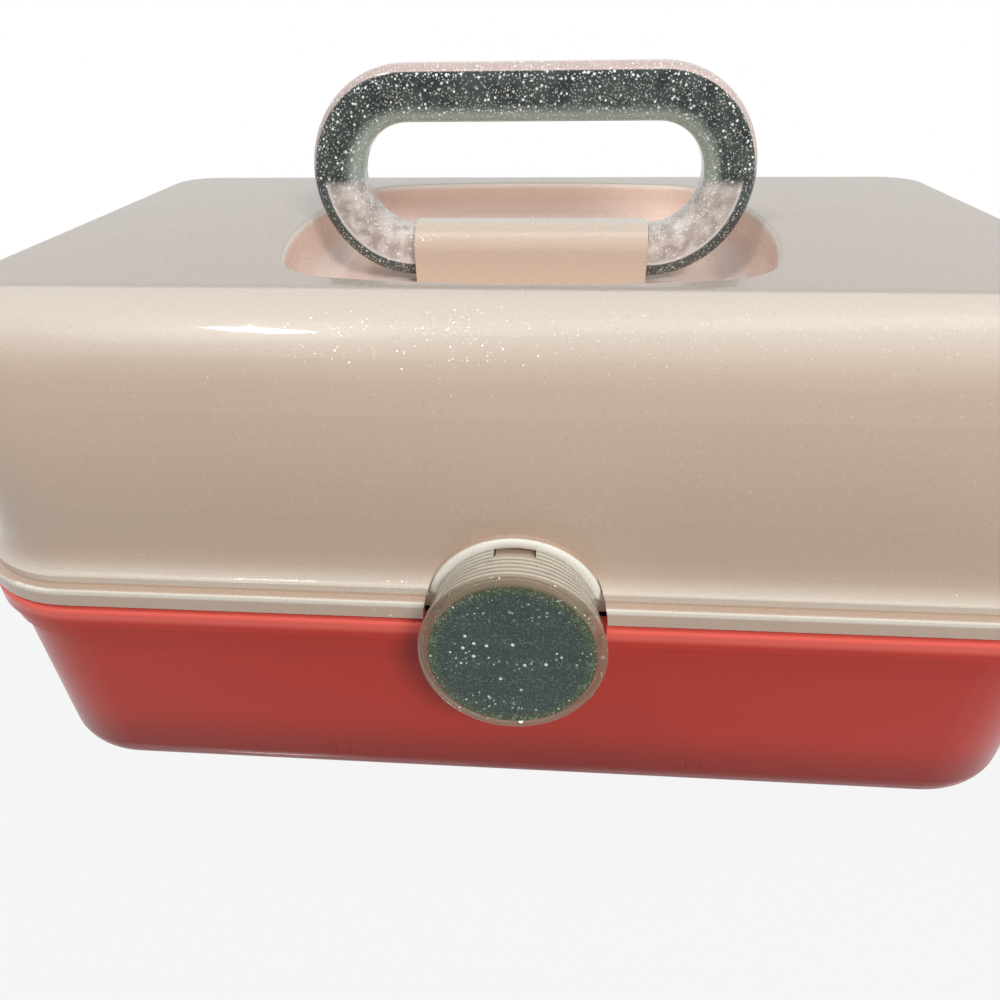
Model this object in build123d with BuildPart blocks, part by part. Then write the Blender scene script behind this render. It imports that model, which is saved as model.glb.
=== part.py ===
from build123d import *
from math import atan2, cos, degrees, hypot, radians, sin, sqrt, tan
import os

# Hard plastic make-up case: a coral base tray, a pearl lid with a carrying handle that folds into
# a dished recess, a round latch, and a tray inside that rises level when the lid is opened.
# Millimetres. +Z is up, the front faces -Y, and the origin is the centre of the flat underside.

# ---- Case body ----
case_length = 322.0
case_depth = 212.0
case_height = 149.0
corner_radius = 38.0
base_height = 69.8
seam_gap = 1.7

# ---- Base shell ----
base_wall = 2.6
base_floor = 2.8
base_rim_height = 6.0
base_rim_radius = 1.4
base_band_height = 5.4
base_band_step = 1.5
base_wall_step = 3.0
base_draft_angle = 1.45
base_foot_radius = 10.0
base_inner_radius = 8.0
lip_height = 3.7
lip_clearance = 0.8
lip_notch_margin = 3.0

# ---- Lid shell ----
lid_wall = 2.4
lid_rim_height = 5.5
lid_rim_radius = 0.8
lid_ledge = 2.5
lid_band_height = 2.5
cove_reach = 3.4
cove_height = 8.0
lid_draft = 0.02
front_crown_height = 50.0
front_crown_depth = 29.0
side_crown_height = 12.0
side_crown_depth = 6.0
back_crown_height = 24.0
back_crown_depth = 20.0
crown_wall_margin = 2.0
foot_steps = (0.0, 0.04, 0.15, 0.4, 0.75, 1.0)
even_steps = (0.0, 0.33, 0.67, 1.0)
crown_steps = (0.0, 0.3, 0.55, 0.75, 0.88, 0.96, 0.99, 1.0)

# ---- Handle recess, in the middle of the lid top ----
recess_end_room = 5.0
recess_finger_room = 13.45
recess_end_bow = 11.0
recess_side_bow = 7.7
recess_corner_radius = 22.0
handle_floor_gap = 1.65
recess_floor_radius = 12.0
recess_lip_radius = 2.0
recess_floor = 2.6

# ---- Handle and its sleeve ----
handle_width = 137.0
handle_height = 61.4
handle_bar = 15.7
handle_thickness = 15.0
handle_edge_radius = 5.0
handle_axis_drop = 8.5
handle_stub_radius = 5.0
handle_stub_length = 10.0
sleeve_length = 74.0
sleeve_side_cover = 3.0
sleeve_top_cover = 0.95
sleeve_crown_radius = 8.0
sleeve_end_gap = 0.4
sleeve_screw_spacing = 36.0
screw_radius = 1.5
screw_bite = 6.0
screw_head_radius = 2.9
screw_head_height = 1.8
running_clearance = 0.05

# ---- Latch ----
latch_rise = 1.2
latch_back_radius = 21.5
latch_front_radius = 24.0
latch_proud = 12.5
latch_face_tilt = 4.5
latch_wall = 2.8
latch_face = 3.6
latch_edge_radius = 1.2
latch_gap = 0.4
disc_radius = 21.0
disc_thickness = 1.8
disc_clearance = 0.1
seat_clearance = 0.2
lid_seat_depth = 5.4
base_seat_depth = 3.0
pocket_depth = 7.4
pocket_clearance = 0.5
pocket_drop = 6.0
seat_pad_depth = 10.0
seat_pad_height = 24.0
pad_margin = 1.5
latch_pin_rise = 17.0
latch_pin_inset = 1.5
latch_pin_radius = 1.2
latch_knuckle_radius = 2.4
latch_knuckle_width = 10.0
latch_lug_width = 4.0
latch_side_gap = 0.3
latch_back_gap = 0.8
knuckle_slot_reach = 1.1
lug_radius = 3.2
arch_rise = 0.9
arch_width = 2.0
arch_clearance = 0.6
catch_width = 14.0
catch_radius = 1.2
catch_drop = 15.0
hook_reach = 3.0
hook_height = 2.5

# ---- Back hinge ----
hinge_spacing = 190.0
hinge_offset = 4.8
hinge_knuckle_radius = 4.2
hinge_lid_knuckle = 14.0
hinge_base_knuckle = 9.0
hinge_side_gap = 0.3
hinge_pin_radius = 1.5
hinge_web = 5.0

# ---- Mirror, under the recess ----
mirror_frame_length = 198.0
mirror_frame_depth = 138.0
mirror_frame_corner = 14.0
mirror_frame_thickness = 5.4
mirror_border = 13.0
mirror_corner = 8.0
mirror_thickness = 3.0
mirror_fit = 0.2
mirror_ledge = 5.0
mirror_top_gap = 0.8
mirror_boss_radius = 4.2
mirror_screw_inset = 7.0

# ---- Rising tray ----
tray_side_room = 17.0
tray_front_room = 22.0
tray_back_room = 50.0
tray_lift = 3.0
tray_height = 25.5
tray_wall = 2.0
tray_floor = 2.0
tray_corner_radius = 12.0
tray_rim = 1.5
tray_rim_height = 2.0
tray_rib_y = 4.0
tray_pivot_inset = 18.0
tray_pivot_rise = 19.2
arm_shift_y = -60.0
arm_shift_z = -12.0
arm_width = 9.0
arm_thickness = 2.0
arm_gap = 0.8
arm_slack = 0.3
link_pin_radius = 1.75
link_head_radius = 3.4
link_head_height = 1.2
link_boss_radius = 5.0
link_boss_depth = 2.5

# ---- Loose dividers ----
divider_thickness = 1.8
divider_height = 42.0
divider_y = 18.0
divider_fit = 0.3
divider_cross_spacing = 110.0
guide_depth = 2.4
guide_width = 2.0
tray_divider_spacing = 96.0
tray_divider_height = 18.0

# ---- Worked out from the sizes above ----
half_length = case_length / 2
half_depth = case_depth / 2
front_y = -half_depth
lid_bottom = base_height + seam_gap
lid_band_bottom = lid_bottom + lid_rim_height
dome_bottom = lid_band_bottom + lid_band_height
lip_inset = lid_wall + lip_clearance
cavity_inset = base_wall_step + base_wall
wall_top = base_height - base_rim_height - base_band_height
dome_inset_side = lid_ledge + cove_reach
crown_room = case_height - dome_bottom - cove_height - crown_wall_margin
front_crown = (min(front_crown_height, crown_room), front_crown_depth)
side_crown = (side_crown_height, side_crown_depth)
back_crown = (back_crown_height, back_crown_depth)
latch_height = base_height + latch_rise
latch_front_y = front_y - latch_proud
latch_pin_height = latch_height + latch_pin_rise
latch_pin_y = front_y + latch_pin_inset
catch_height = latch_height - catch_drop
seat_radius = latch_front_radius + seat_clearance
recess_half_length = handle_width / 2 + recess_end_room
recess_half_depth = handle_height - handle_bar / 2 + recess_finger_room
recess_depth = handle_axis_drop + handle_bar / 2 + handle_floor_gap
recess_bottom = case_height - recess_depth
tub_bottom = recess_bottom - recess_floor
handle_axis_z = case_height - handle_axis_drop
sleeve_depth = handle_thickness + 2 * sleeve_side_cover
sleeve_top_z = handle_axis_z + handle_bar / 2 + sleeve_top_cover
hinge_y = half_depth + hinge_offset
hinge_z = base_height + seam_gap / 2
mirror_frame_top = tub_bottom - mirror_top_gap
mirror_length = mirror_frame_length - 2 * mirror_border
mirror_depth = mirror_frame_depth - 2 * mirror_border
tray_length = case_length - 2 * tray_side_room
tray_front = -half_depth + tray_front_room
tray_back = half_depth - tray_back_room
tray_base = base_height + tray_lift
tray_pivot_y = tray_back - tray_pivot_inset
tray_pivot_z = tray_base + tray_pivot_rise
arm_x = tray_length / 2 + tray_rim + arm_gap
arm_pivot_y = hinge_y + arm_shift_y
arm_pivot_z = hinge_z + arm_shift_z
tray_arm_y = tray_pivot_y + arm_shift_y
tray_arm_z = tray_pivot_z + arm_shift_z
hinge_pin_half = hinge_lid_knuckle / 2 + hinge_side_gap + hinge_base_knuckle
inner_wall_x = half_length - cavity_inset
cavity_draft = (base_height - base_floor) * tan(radians(base_draft_angle))
cavity_foot_x = inner_wall_x - cavity_draft
cavity_foot_y = half_depth - cavity_inset - cavity_draft
arm_boss_x = arm_x + arm_thickness + arm_gap / 2
arm_pin_end = inner_wall_x
lid_boss_x = tray_length / 2 + tray_rim + arm_gap
lid_pin_end = half_length - dome_inset_side - lid_wall
seat_floor_y = front_y + base_seat_depth
arch_y = front_y + dome_inset_side - arch_rise
mirror_post_x = mirror_frame_length / 2 - mirror_screw_inset
mirror_post_y = mirror_frame_depth / 2 - mirror_screw_inset
divider_cross_x = (-divider_cross_spacing / 2, divider_cross_spacing / 2)
tray_divider_x = (-tray_divider_spacing / 2, tray_divider_spacing / 2)
lug_start = latch_knuckle_width / 2 + latch_side_gap
latch_pin_half = lug_start + latch_lug_width

os.makedirs("parts", exist_ok=True)


def save(piece, name):
    piece.part.label = name
    export_step(piece.part, f"parts/{name}.step")


def slab(z, height, inset, taper=0.0, low_radius=0.0, high_radius=0.0):
    """A layer of the case in its rounded plan outline, drawn in from the rims, up or down from z."""
    with BuildPart() as layer:
        with BuildSketch(Plane.XY.offset(z)):
            RectangleRounded(case_length - 2 * inset, case_depth - 2 * inset, corner_radius - inset)
        extrude(amount=height, taper=taper)
        if low_radius:
            fillet(edges().group_by(Axis.Z)[0], low_radius)
        if high_radius:
            fillet(edges().group_by(Axis.Z)[-1], high_radius)
    return layer.part


def dome_inset(z, crown):
    """How far the lid's outer skin stands in from the rims at one height, by the crown of that side."""
    height, depth = crown
    climb = min(1.0, max(0.0, (z - dome_bottom) / cove_height))
    cove = cove_reach * sqrt(1 - (1 - climb) ** 2)
    turn = min(1.0, max(0.0, (z - case_height + height) / height))
    return lid_ledge + cove + lid_draft * (z - dome_bottom) + depth * (1 - sqrt(1 - turn**2))


def dome_section(z, skin=0.0):
    """Plan outline of the lid at one height: its outer skin, or that skin thickened inwards."""
    sides = dome_inset(z, side_crown) + skin
    front = dome_inset(z, front_crown) + skin
    back = dome_inset(z, back_crown) + skin
    with BuildSketch(Plane.XY.offset(z - skin)) as outline:
        with Locations((0, (front - back) / 2)):
            RectangleRounded(case_length - 2 * sides, case_depth - front - back, corner_radius - back)
    return outline.sketch


def dome(skin=0.0):
    """The lid's crowned body above its rim bands, lofted anew from each height where a curve starts."""
    starts = [dome_bottom, dome_bottom + cove_height, case_height - front_crown[0],
              case_height - back_crown[0], case_height - side_crown[0], case_height]
    stages = (foot_steps, even_steps, even_steps, even_steps, crown_steps)
    with BuildPart() as body:
        for low, high, steps in zip(starts, starts[1:], stages):
            loft(sections=[dome_section(low + step * (high - low), skin) for step in steps])
    return body.part


def recess_form(top, grow=0.0):
    """The dished recess as a solid up to one height; grown by its floor, it is the tub that holds it."""
    end_x = recess_half_length + grow
    side_y = recess_half_depth + grow
    corner_x = end_x - recess_end_bow
    corner_y = side_y - recess_side_bow
    with BuildPart() as form:
        with BuildSketch(Plane.XY.offset(recess_bottom - grow)):
            with BuildLine():
                ThreePointArc((-corner_x, -corner_y), (0, -side_y), (corner_x, -corner_y))
                ThreePointArc((corner_x, -corner_y), (end_x, 0), (corner_x, corner_y))
                ThreePointArc((corner_x, corner_y), (0, side_y), (-corner_x, corner_y))
                ThreePointArc((-corner_x, corner_y), (-end_x, 0), (-corner_x, -corner_y))
            make_face()
            fillet(vertices(), recess_corner_radius + grow)
        extrude(amount=top - recess_bottom + grow)
        fillet(edges().group_by(Axis.Z)[0], recess_floor_radius + grow)
    return form.part


def seat_disc(radius, y, depth, z=latch_height):
    """A round block on the latch's centre line, from a plane in front of the case back to one depth."""
    with BuildPart() as disc:
        with BuildSketch(Plane.XZ.offset(-y)):
            with Locations((0, z)):
                Circle(radius)
        extrude(amount=-depth)
    return disc.part


def rod(radius, x_from, x_to, y, z):
    """A round bar along X."""
    with BuildPart() as bar:
        with BuildSketch(Plane.YZ.offset(x_from)):
            with Locations((y, z)):
                Circle(radius)
        extrude(amount=x_to - x_from)
    return bar.part


def block(x, y, z):
    """A box given by its low and high values along each axis."""
    with BuildPart() as box:
        with BuildSketch(Plane.XY.offset(z[0])):
            with Locations(((x[0] + x[1]) / 2, (y[0] + y[1]) / 2)):
                Rectangle(x[1] - x[0], y[1] - y[0])
        extrude(amount=z[1] - z[0])
    return box.part


def hinge_knuckle(x, width, web_low, web_high):
    """A hinge knuckle behind the case, with the web that joins it to a rim."""
    knuckle = rod(hinge_knuckle_radius, x - width / 2, x + width / 2, hinge_y, hinge_z)
    web = block((x - width / 2, x + width / 2), (half_depth - lid_wall / 2, hinge_y), (web_low, web_high))
    return knuckle + web


# ---- Base shell: floor, walls, two rim bands, inner lip, latch seat, hinge knuckles, guides ----
base_body = slab(wall_top, -wall_top, base_wall_step, base_draft_angle, low_radius=base_foot_radius)
base_band = slab(wall_top, base_band_height, base_band_step)
base_rim = slab(base_height - base_rim_height, base_rim_height, 0, high_radius=base_rim_radius)
base_lip = slab(base_height - base_rim_radius, base_rim_radius + lip_height, lip_inset)
base_cavity = slab(base_height, base_floor - base_height, cavity_inset, base_draft_angle,
                   low_radius=base_inner_radius)
base_mouth = slab(base_height, lip_height + 1, cavity_inset)
base_seat = seat_disc(seat_radius, front_y - 1, 1 + base_seat_depth)
lip_notch = block((-seat_radius - lip_notch_margin, seat_radius + lip_notch_margin),
                  (front_y, front_y + cavity_inset + 1), (base_height, base_height + lip_height + 1))
catch_bead = rod(catch_radius, -catch_width / 2, catch_width / 2, seat_floor_y, catch_height)
base_knuckles = []
base_pin_holes = []
for side in (-1, 1):
    hinge_x = side * hinge_spacing / 2
    base_pin_holes.append(rod(hinge_pin_radius, hinge_x - hinge_pin_half, hinge_x + hinge_pin_half,
                              hinge_y, hinge_z))
    for end in (-1, 1):
        knuckle_x = hinge_x + end * (hinge_pin_half - hinge_base_knuckle / 2)
        base_knuckles.append(hinge_knuckle(knuckle_x, hinge_base_knuckle, hinge_z - hinge_web,
                                           base_height - base_rim_radius))
arm_bosses = [rod(link_boss_radius, side * arm_boss_x, side * (inner_wall_x + base_wall / 2),
                  arm_pivot_y, arm_pivot_z) for side in (-1, 1)]
arm_holes = [rod(link_pin_radius, side * (arm_boss_x - 1), side * arm_pin_end, arm_pivot_y, arm_pivot_z)
             for side in (-1, 1)]
guide_off = divider_thickness / 2 + divider_fit + guide_width / 2
end_guides = [block(sorted((side * (cavity_foot_x - guide_depth), side * (inner_wall_x + 1))),
                    (divider_y + off - guide_width / 2, divider_y + off + guide_width / 2),
                    (base_floor + base_inner_radius, base_floor + divider_height))
              for side in (-1, 1) for off in (-guide_off, guide_off)]
front_guides = [block((x + off - guide_width / 2, x + off + guide_width / 2),
                      (-half_depth + base_wall_step + 1, -cavity_foot_y + guide_depth),
                      (base_floor + base_inner_radius, base_floor + divider_height))
                for x in divider_cross_x for off in (-guide_off, guide_off)]
with BuildPart() as base_shell:
    for form in (base_body, base_band, base_rim, base_lip):
        add(form)
    for form in (base_cavity, base_mouth, lip_notch, base_seat):
        add(form, mode=Mode.SUBTRACT)
    for form in base_knuckles + arm_bosses + end_guides + front_guides + [catch_bead]:
        add(form)
    for form in base_pin_holes + arm_holes:
        add(form, mode=Mode.SUBTRACT)
save(base_shell, "base_shell")

# ---- Hinge pins ----
for side, name in ((-1, "hinge_pin_left"), (1, "hinge_pin_right")):
    hinge_x = side * hinge_spacing / 2
    with BuildPart() as hinge_pin:
        add(rod(hinge_pin_radius, hinge_x - hinge_pin_half, hinge_x + hinge_pin_half, hinge_y, hinge_z))
    save(hinge_pin, name)

# ---- Lid shell: crowned cover, rim bands, recess tub, latch seat and pocket, posts and knuckles ----
lid_outer = slab(lid_bottom, lid_rim_height, 0, high_radius=lid_rim_radius)
lid_outer += slab(lid_band_bottom, lid_band_height, lid_ledge)
lid_outer += dome()
lid_hollow = [slab(lid_bottom, lid_rim_height - lid_wall, lid_wall),
              slab(lid_band_bottom - lid_wall, lid_band_height, lid_ledge + lid_wall),
              dome(lid_wall)]
seat_pad = block((-seat_radius - pad_margin, seat_radius + pad_margin),
                 (front_y, front_y + seat_pad_depth), (lid_bottom, lid_bottom + seat_pad_height)) & lid_outer
above_pin = block((-half_length, half_length), (front_y - 1, 0), (latch_pin_height - pocket_drop, case_height))
lid_seat = seat_disc(seat_radius, front_y - 1, 1 + lid_seat_depth)
latch_pocket = seat_disc(latch_back_radius + pocket_clearance, front_y - 1, 1 + pocket_depth) & above_pin
arch = (seat_disc(latch_back_radius + arch_clearance + arch_width, arch_y, lid_wall)
        - seat_disc(latch_back_radius + arch_clearance, arch_y - 1, lid_wall + 2)) & above_pin
latch_knuckle = rod(latch_knuckle_radius, -latch_knuckle_width / 2, latch_knuckle_width / 2,
                    latch_pin_y, latch_pin_height)
latch_knuckle += block((-latch_knuckle_width / 2, latch_knuckle_width / 2),
                       (latch_pin_y, front_y + pocket_depth + 1),
                       (latch_pin_height - latch_knuckle_radius, latch_pin_height + latch_knuckle_radius))
latch_pin_hole = rod(latch_pin_radius, -latch_knuckle_width, latch_knuckle_width, latch_pin_y, latch_pin_height)
lid_knuckles = [hinge_knuckle(side * hinge_spacing / 2, hinge_lid_knuckle, lid_bottom + seam_gap / 4,
                              hinge_z + hinge_web) for side in (-1, 1)]
lid_pin_holes = [rod(hinge_pin_radius + running_clearance, side * hinge_spacing / 2 - hinge_pin_half,
                     side * hinge_spacing / 2 + hinge_pin_half, hinge_y, hinge_z) for side in (-1, 1)]
tray_bosses = [rod(link_boss_radius, side * lid_boss_x, side * half_length, tray_pivot_y, tray_pivot_z) & lid_outer
               for side in (-1, 1)]
tray_holes = [rod(link_pin_radius, side * (lid_boss_x - 1), side * lid_pin_end, tray_pivot_y, tray_pivot_z)
              for side in (-1, 1)]
with BuildPart() as mirror_posts:
    with BuildSketch(Plane.XY.offset(mirror_frame_top)):
        with GridLocations(2 * mirror_post_x, 2 * mirror_post_y, 2, 2):
            Circle(mirror_boss_radius)
    extrude(amount=case_height - lid_wall / 2 - mirror_frame_top)
with BuildPart() as lid_screw_holes:
    with BuildSketch(Plane.XY.offset(mirror_frame_top)):
        with GridLocations(2 * mirror_post_x, 2 * mirror_post_y, 2, 2):
            Circle(screw_radius)
    extrude(amount=screw_bite)
    with BuildSketch(Plane.XY.offset(tub_bottom)):
        with GridLocations(sleeve_screw_spacing, 0, 2, 1):
            Circle(screw_radius + running_clearance)
    extrude(amount=recess_floor)
tub = recess_form(case_height - lid_wall / 2, recess_floor)
recess = recess_form(case_height + 1)
with BuildPart() as lid_shell:
    add(lid_outer)
    for form in lid_hollow:
        add(form, mode=Mode.SUBTRACT)
    for form in [tub, seat_pad, mirror_posts.part] + tray_bosses:
        add(form)
    for form in [recess, lid_seat, latch_pocket, lid_screw_holes.part] + tray_holes:
        add(form, mode=Mode.SUBTRACT)
    fillet(faces().sort_by(Axis.Z)[-1].inner_wires()[0].edges(), recess_lip_radius)
    for form in [arch, latch_knuckle] + lid_knuckles:
        add(form)
    for form in [latch_pin_hole] + lid_pin_holes:
        add(form, mode=Mode.SUBTRACT)
save(lid_shell, "lid_shell")

# ---- Handle: one bar bent into a racetrack, open at the sleeve, with a stub on each end ----
bend_radius = (handle_height - handle_bar) / 2
bend_x = (handle_width - handle_bar) / 2 - bend_radius
handle_end = sleeve_length / 2 + sleeve_end_gap
handle_top_z = handle_axis_z + 2 * bend_radius
with BuildPart() as handle:
    with BuildLine(Plane.XZ):
        Line((handle_end, handle_axis_z), (bend_x, handle_axis_z))
        ThreePointArc((bend_x, handle_axis_z), (bend_x + bend_radius, handle_axis_z + bend_radius),
                      (bend_x, handle_top_z))
        Line((bend_x, handle_top_z), (-bend_x, handle_top_z))
        ThreePointArc((-bend_x, handle_top_z), (-bend_x - bend_radius, handle_axis_z + bend_radius),
                      (-bend_x, handle_axis_z))
        Line((-bend_x, handle_axis_z), (-handle_end, handle_axis_z))
    with BuildSketch(Plane.YZ.offset(handle_end)):
        with Locations((0, handle_axis_z)):
            RectangleRounded(handle_thickness, handle_bar, handle_edge_radius)
    sweep()
    for side in (-1, 1):
        with BuildSketch(Plane.YZ.offset(side * handle_end)):
            with Locations((0, handle_axis_z)):
                Circle(handle_stub_radius)
        extrude(amount=-side * handle_stub_length)
save(handle, "handle")

# ---- Handle sleeve: the barrel over the handle's ends, screwed down from inside the lid ----
with BuildPart() as handle_sleeve:
    with BuildSketch(Plane.YZ.offset(-sleeve_length / 2)):
        with BuildLine():
            Polyline((-sleeve_depth / 2, recess_bottom), (sleeve_depth / 2, recess_bottom),
                     (sleeve_depth / 2, sleeve_top_z),
                     (-sleeve_depth / 2, sleeve_top_z), close=True)
        make_face()
        fillet(vertices().group_by(Axis.Y)[-1], sleeve_crown_radius)
    extrude(amount=sleeve_length)
    for side in (-1, 1):
        with BuildSketch(Plane.YZ.offset(side * sleeve_length / 2)):
            with Locations((0, handle_axis_z)):
                Circle(handle_stub_radius + running_clearance)
        extrude(amount=-side * (handle_stub_length + sleeve_end_gap), mode=Mode.SUBTRACT)
    with BuildSketch(Plane.XY.offset(recess_bottom)):
        with GridLocations(sleeve_screw_spacing, 0, 2, 1):
            Circle(screw_radius)
    extrude(amount=screw_bite, mode=Mode.SUBTRACT)
save(handle_sleeve, "handle_sleeve")

with BuildPart() as handle_screws:
    with BuildSketch(Plane.XY.offset(tub_bottom)):
        with GridLocations(sleeve_screw_spacing, 0, 2, 1):
            Circle(screw_radius)
    extrude(amount=recess_floor + screw_bite)
    with BuildSketch(Plane.XY.offset(tub_bottom)):
        with GridLocations(sleeve_screw_spacing, 0, 2, 1):
            Circle(screw_head_radius)
    extrude(amount=-screw_head_height)
save(handle_screws, "handle_screws")

# ---- Mirror, its frame and the four screws into the lid's posts ----
mirror_frame_bottom = mirror_frame_top - mirror_frame_thickness
glass_top = mirror_frame_bottom + mirror_thickness + mirror_fit
with BuildPart() as mirror_frame:
    with BuildSketch(Plane.XY.offset(mirror_frame_bottom)):
        RectangleRounded(mirror_frame_length, mirror_frame_depth, mirror_frame_corner)
    extrude(amount=mirror_frame_thickness)
    with BuildSketch(Plane.XY.offset(mirror_frame_bottom)):
        RectangleRounded(mirror_length + 2 * mirror_fit, mirror_depth + 2 * mirror_fit, mirror_corner)
    extrude(amount=mirror_thickness + mirror_fit, mode=Mode.SUBTRACT)
    with BuildSketch(Plane.XY.offset(glass_top)):
        RectangleRounded(mirror_length - 2 * mirror_ledge, mirror_depth - 2 * mirror_ledge, mirror_corner)
    extrude(amount=mirror_frame_thickness, mode=Mode.SUBTRACT)
    with BuildSketch(Plane.XY.offset(mirror_frame_bottom)):
        with GridLocations(2 * mirror_post_x, 2 * mirror_post_y, 2, 2):
            Circle(screw_radius + running_clearance)
    extrude(amount=mirror_frame_thickness, mode=Mode.SUBTRACT)
    with BuildSketch(Plane.XY.offset(mirror_frame_bottom)):
        with GridLocations(2 * mirror_post_x, 2 * mirror_post_y, 2, 2):
            Circle(screw_head_radius + mirror_fit)
    extrude(amount=screw_head_height, mode=Mode.SUBTRACT)
save(mirror_frame, "mirror_frame")

with BuildPart() as mirror_glass:
    with BuildSketch(Plane.XY.offset(glass_top)):
        RectangleRounded(mirror_length, mirror_depth, mirror_corner)
    extrude(amount=-mirror_thickness)
save(mirror_glass, "mirror_glass")

with BuildPart() as mirror_screws:
    with BuildSketch(Plane.XY.offset(mirror_frame_bottom)):
        with GridLocations(2 * mirror_post_x, 2 * mirror_post_y, 2, 2):
            Circle(screw_head_radius)
    extrude(amount=screw_head_height)
    with BuildSketch(Plane.XY.offset(mirror_frame_bottom)):
        with GridLocations(2 * mirror_post_x, 2 * mirror_post_y, 2, 2):
            Circle(screw_radius)
    extrude(amount=mirror_frame_thickness + screw_bite)
save(mirror_screws, "mirror_screws")

# ---- Latch: a thick clear cup on a pin at its top, with a glitter disc set in its face ----
latch_back_y = front_y + lid_seat_depth - latch_back_gap
face_plane = Plane(origin=(0, latch_front_y, latch_height), x_dir=(1, 0, 0),
                   z_dir=(0, -cos(radians(latch_face_tilt)), sin(radians(latch_face_tilt))))
back_plane = Plane.XZ.offset(-latch_back_y)
taper_per_mm = (latch_front_radius - latch_back_radius) / (latch_back_y - latch_front_y)
inside_radius = latch_front_radius - latch_face * taper_per_mm - latch_wall
with BuildPart() as latch_outside:
    with BuildSketch(back_plane):
        with Locations((0, latch_height)):
            Circle(latch_back_radius)
    with BuildSketch(face_plane):
        Circle(latch_front_radius)
    loft()
    fillet(edges().sort_by(Axis.Y)[0], latch_edge_radius)
with BuildPart() as latch_inside:
    with BuildSketch(back_plane):
        with Locations((0, latch_height)):
            Circle(latch_back_radius - latch_wall)
    with BuildSketch(face_plane.offset(-latch_face)):
        Circle(inside_radius)
    loft()
latch_lugs = [block(sorted((side * lug_start, side * (lug_start + latch_lug_width))),
                    (latch_pin_y - lug_radius, latch_back_y),
                    (latch_pin_height - lug_radius, latch_height + latch_front_radius)) & latch_outside.part
              for side in (-1, 1)]
knuckle_room = rod(latch_knuckle_radius + latch_side_gap, -lug_start, lug_start, latch_pin_y, latch_pin_height)
knuckle_slot = block((-lug_start, lug_start), (latch_pin_y - knuckle_slot_reach, latch_back_y + 1),
                     (latch_pin_height - latch_knuckle_radius - latch_gap, latch_height + latch_front_radius))
seam_relief = block((-latch_front_radius, latch_front_radius), (seat_floor_y - latch_gap, latch_back_y + 1),
                    (latch_height - latch_front_radius, lid_bottom))
hook_front = seat_floor_y - catch_radius - latch_gap
latch_hook = block((-catch_width / 2, catch_width / 2), (hook_front - hook_reach, hook_front),
                   (latch_height - latch_front_radius, catch_height - catch_radius - latch_side_gap))
latch_hook &= latch_outside.part
with BuildPart() as latch_cup:
    add(latch_outside.part)
    add(latch_inside.part, mode=Mode.SUBTRACT)
    for form in latch_lugs + [latch_hook]:
        add(form)
    for form in (knuckle_room, knuckle_slot, seam_relief):
        add(form, mode=Mode.SUBTRACT)
    add(rod(latch_pin_radius + running_clearance, -latch_pin_half, latch_pin_half, latch_pin_y, latch_pin_height),
        mode=Mode.SUBTRACT)
    with BuildSketch(face_plane):
        Circle(disc_radius + disc_clearance)
    extrude(amount=-disc_thickness, mode=Mode.SUBTRACT)
save(latch_cup, "latch_cup")

with BuildPart() as latch_disc:
    with BuildSketch(face_plane):
        Circle(disc_radius)
    extrude(amount=-disc_thickness)
save(latch_disc, "latch_disc")

with BuildPart() as latch_pin:
    add(rod(latch_pin_radius, -latch_pin_half, latch_pin_half, latch_pin_y, latch_pin_height))
save(latch_pin, "latch_pin")

# ---- Rising tray: an open box with ribs, hung from the lid and carried by two side arms ----
tray_middle = (tray_front + tray_back) / 2
tray_deep = tray_back - tray_front
tray_top = tray_base + tray_height
tray_inner_x = tray_length / 2 - tray_wall
tray_row_back = tray_rib_y - divider_thickness / 2
tray_bosses_in = [rod(link_boss_radius, side * (tray_inner_x - link_boss_depth), side * tray_inner_x, y, z)
                  for side in (-1, 1)
                  for y, z in ((tray_pivot_y, tray_pivot_z), (tray_arm_y, tray_arm_z))]
lid_link_holes = [rod(link_pin_radius + running_clearance, side * tray_length / 2,
                      side * (tray_inner_x - link_boss_depth), tray_pivot_y, tray_pivot_z) for side in (-1, 1)]
arm_link_holes = [rod(link_pin_radius, side * tray_length / 2, side * (tray_inner_x - link_boss_depth),
                      tray_arm_y, tray_arm_z) for side in (-1, 1)]
with BuildPart() as tray:
    with BuildSketch(Plane.XY.offset(tray_base)):
        with Locations((0, tray_middle)):
            RectangleRounded(tray_length, tray_deep, tray_corner_radius)
    extrude(amount=tray_height)
    fillet(edges().group_by(Axis.Z)[0], tray_floor)
    with BuildSketch(Plane.XY.offset(tray_top - tray_rim_height)):
        with Locations((0, tray_middle)):
            RectangleRounded(tray_length + 2 * tray_rim, tray_deep + 2 * tray_rim, tray_corner_radius + tray_rim)
    extrude(amount=tray_rim_height)
    with BuildSketch(Plane.XY.offset(tray_base + tray_floor)):
        with Locations((0, tray_middle)):
            RectangleRounded(tray_length - 2 * tray_wall, tray_deep - 2 * tray_wall, tray_corner_radius - tray_wall)
    extrude(amount=tray_height, mode=Mode.SUBTRACT)
    with BuildSketch(Plane.XY.offset(tray_base + tray_floor)):
        with Locations((0, tray_rib_y)):
            Rectangle(2 * tray_inner_x, divider_thickness)
        with Locations((0, (tray_rib_y + tray_back - tray_wall) / 2)):
            with GridLocations(tray_divider_spacing, 0, 2, 1):
                Rectangle(divider_thickness, tray_back - tray_wall - tray_rib_y)
    extrude(amount=tray_divider_height)
    with BuildSketch(Plane.XY.offset(tray_base + tray_floor)):
        for x in tray_divider_x:
            for off in (-guide_off, guide_off):
                with Locations((x + off, tray_front + tray_wall + guide_depth / 2),
                               (x + off, tray_row_back - guide_depth / 2)):
                    Rectangle(guide_width, guide_depth)
    extrude(amount=tray_divider_height)
    for form in tray_bosses_in:
        add(form)
    for form in lid_link_holes + arm_link_holes:
        add(form, mode=Mode.SUBTRACT)
save(tray, "tray")

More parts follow.
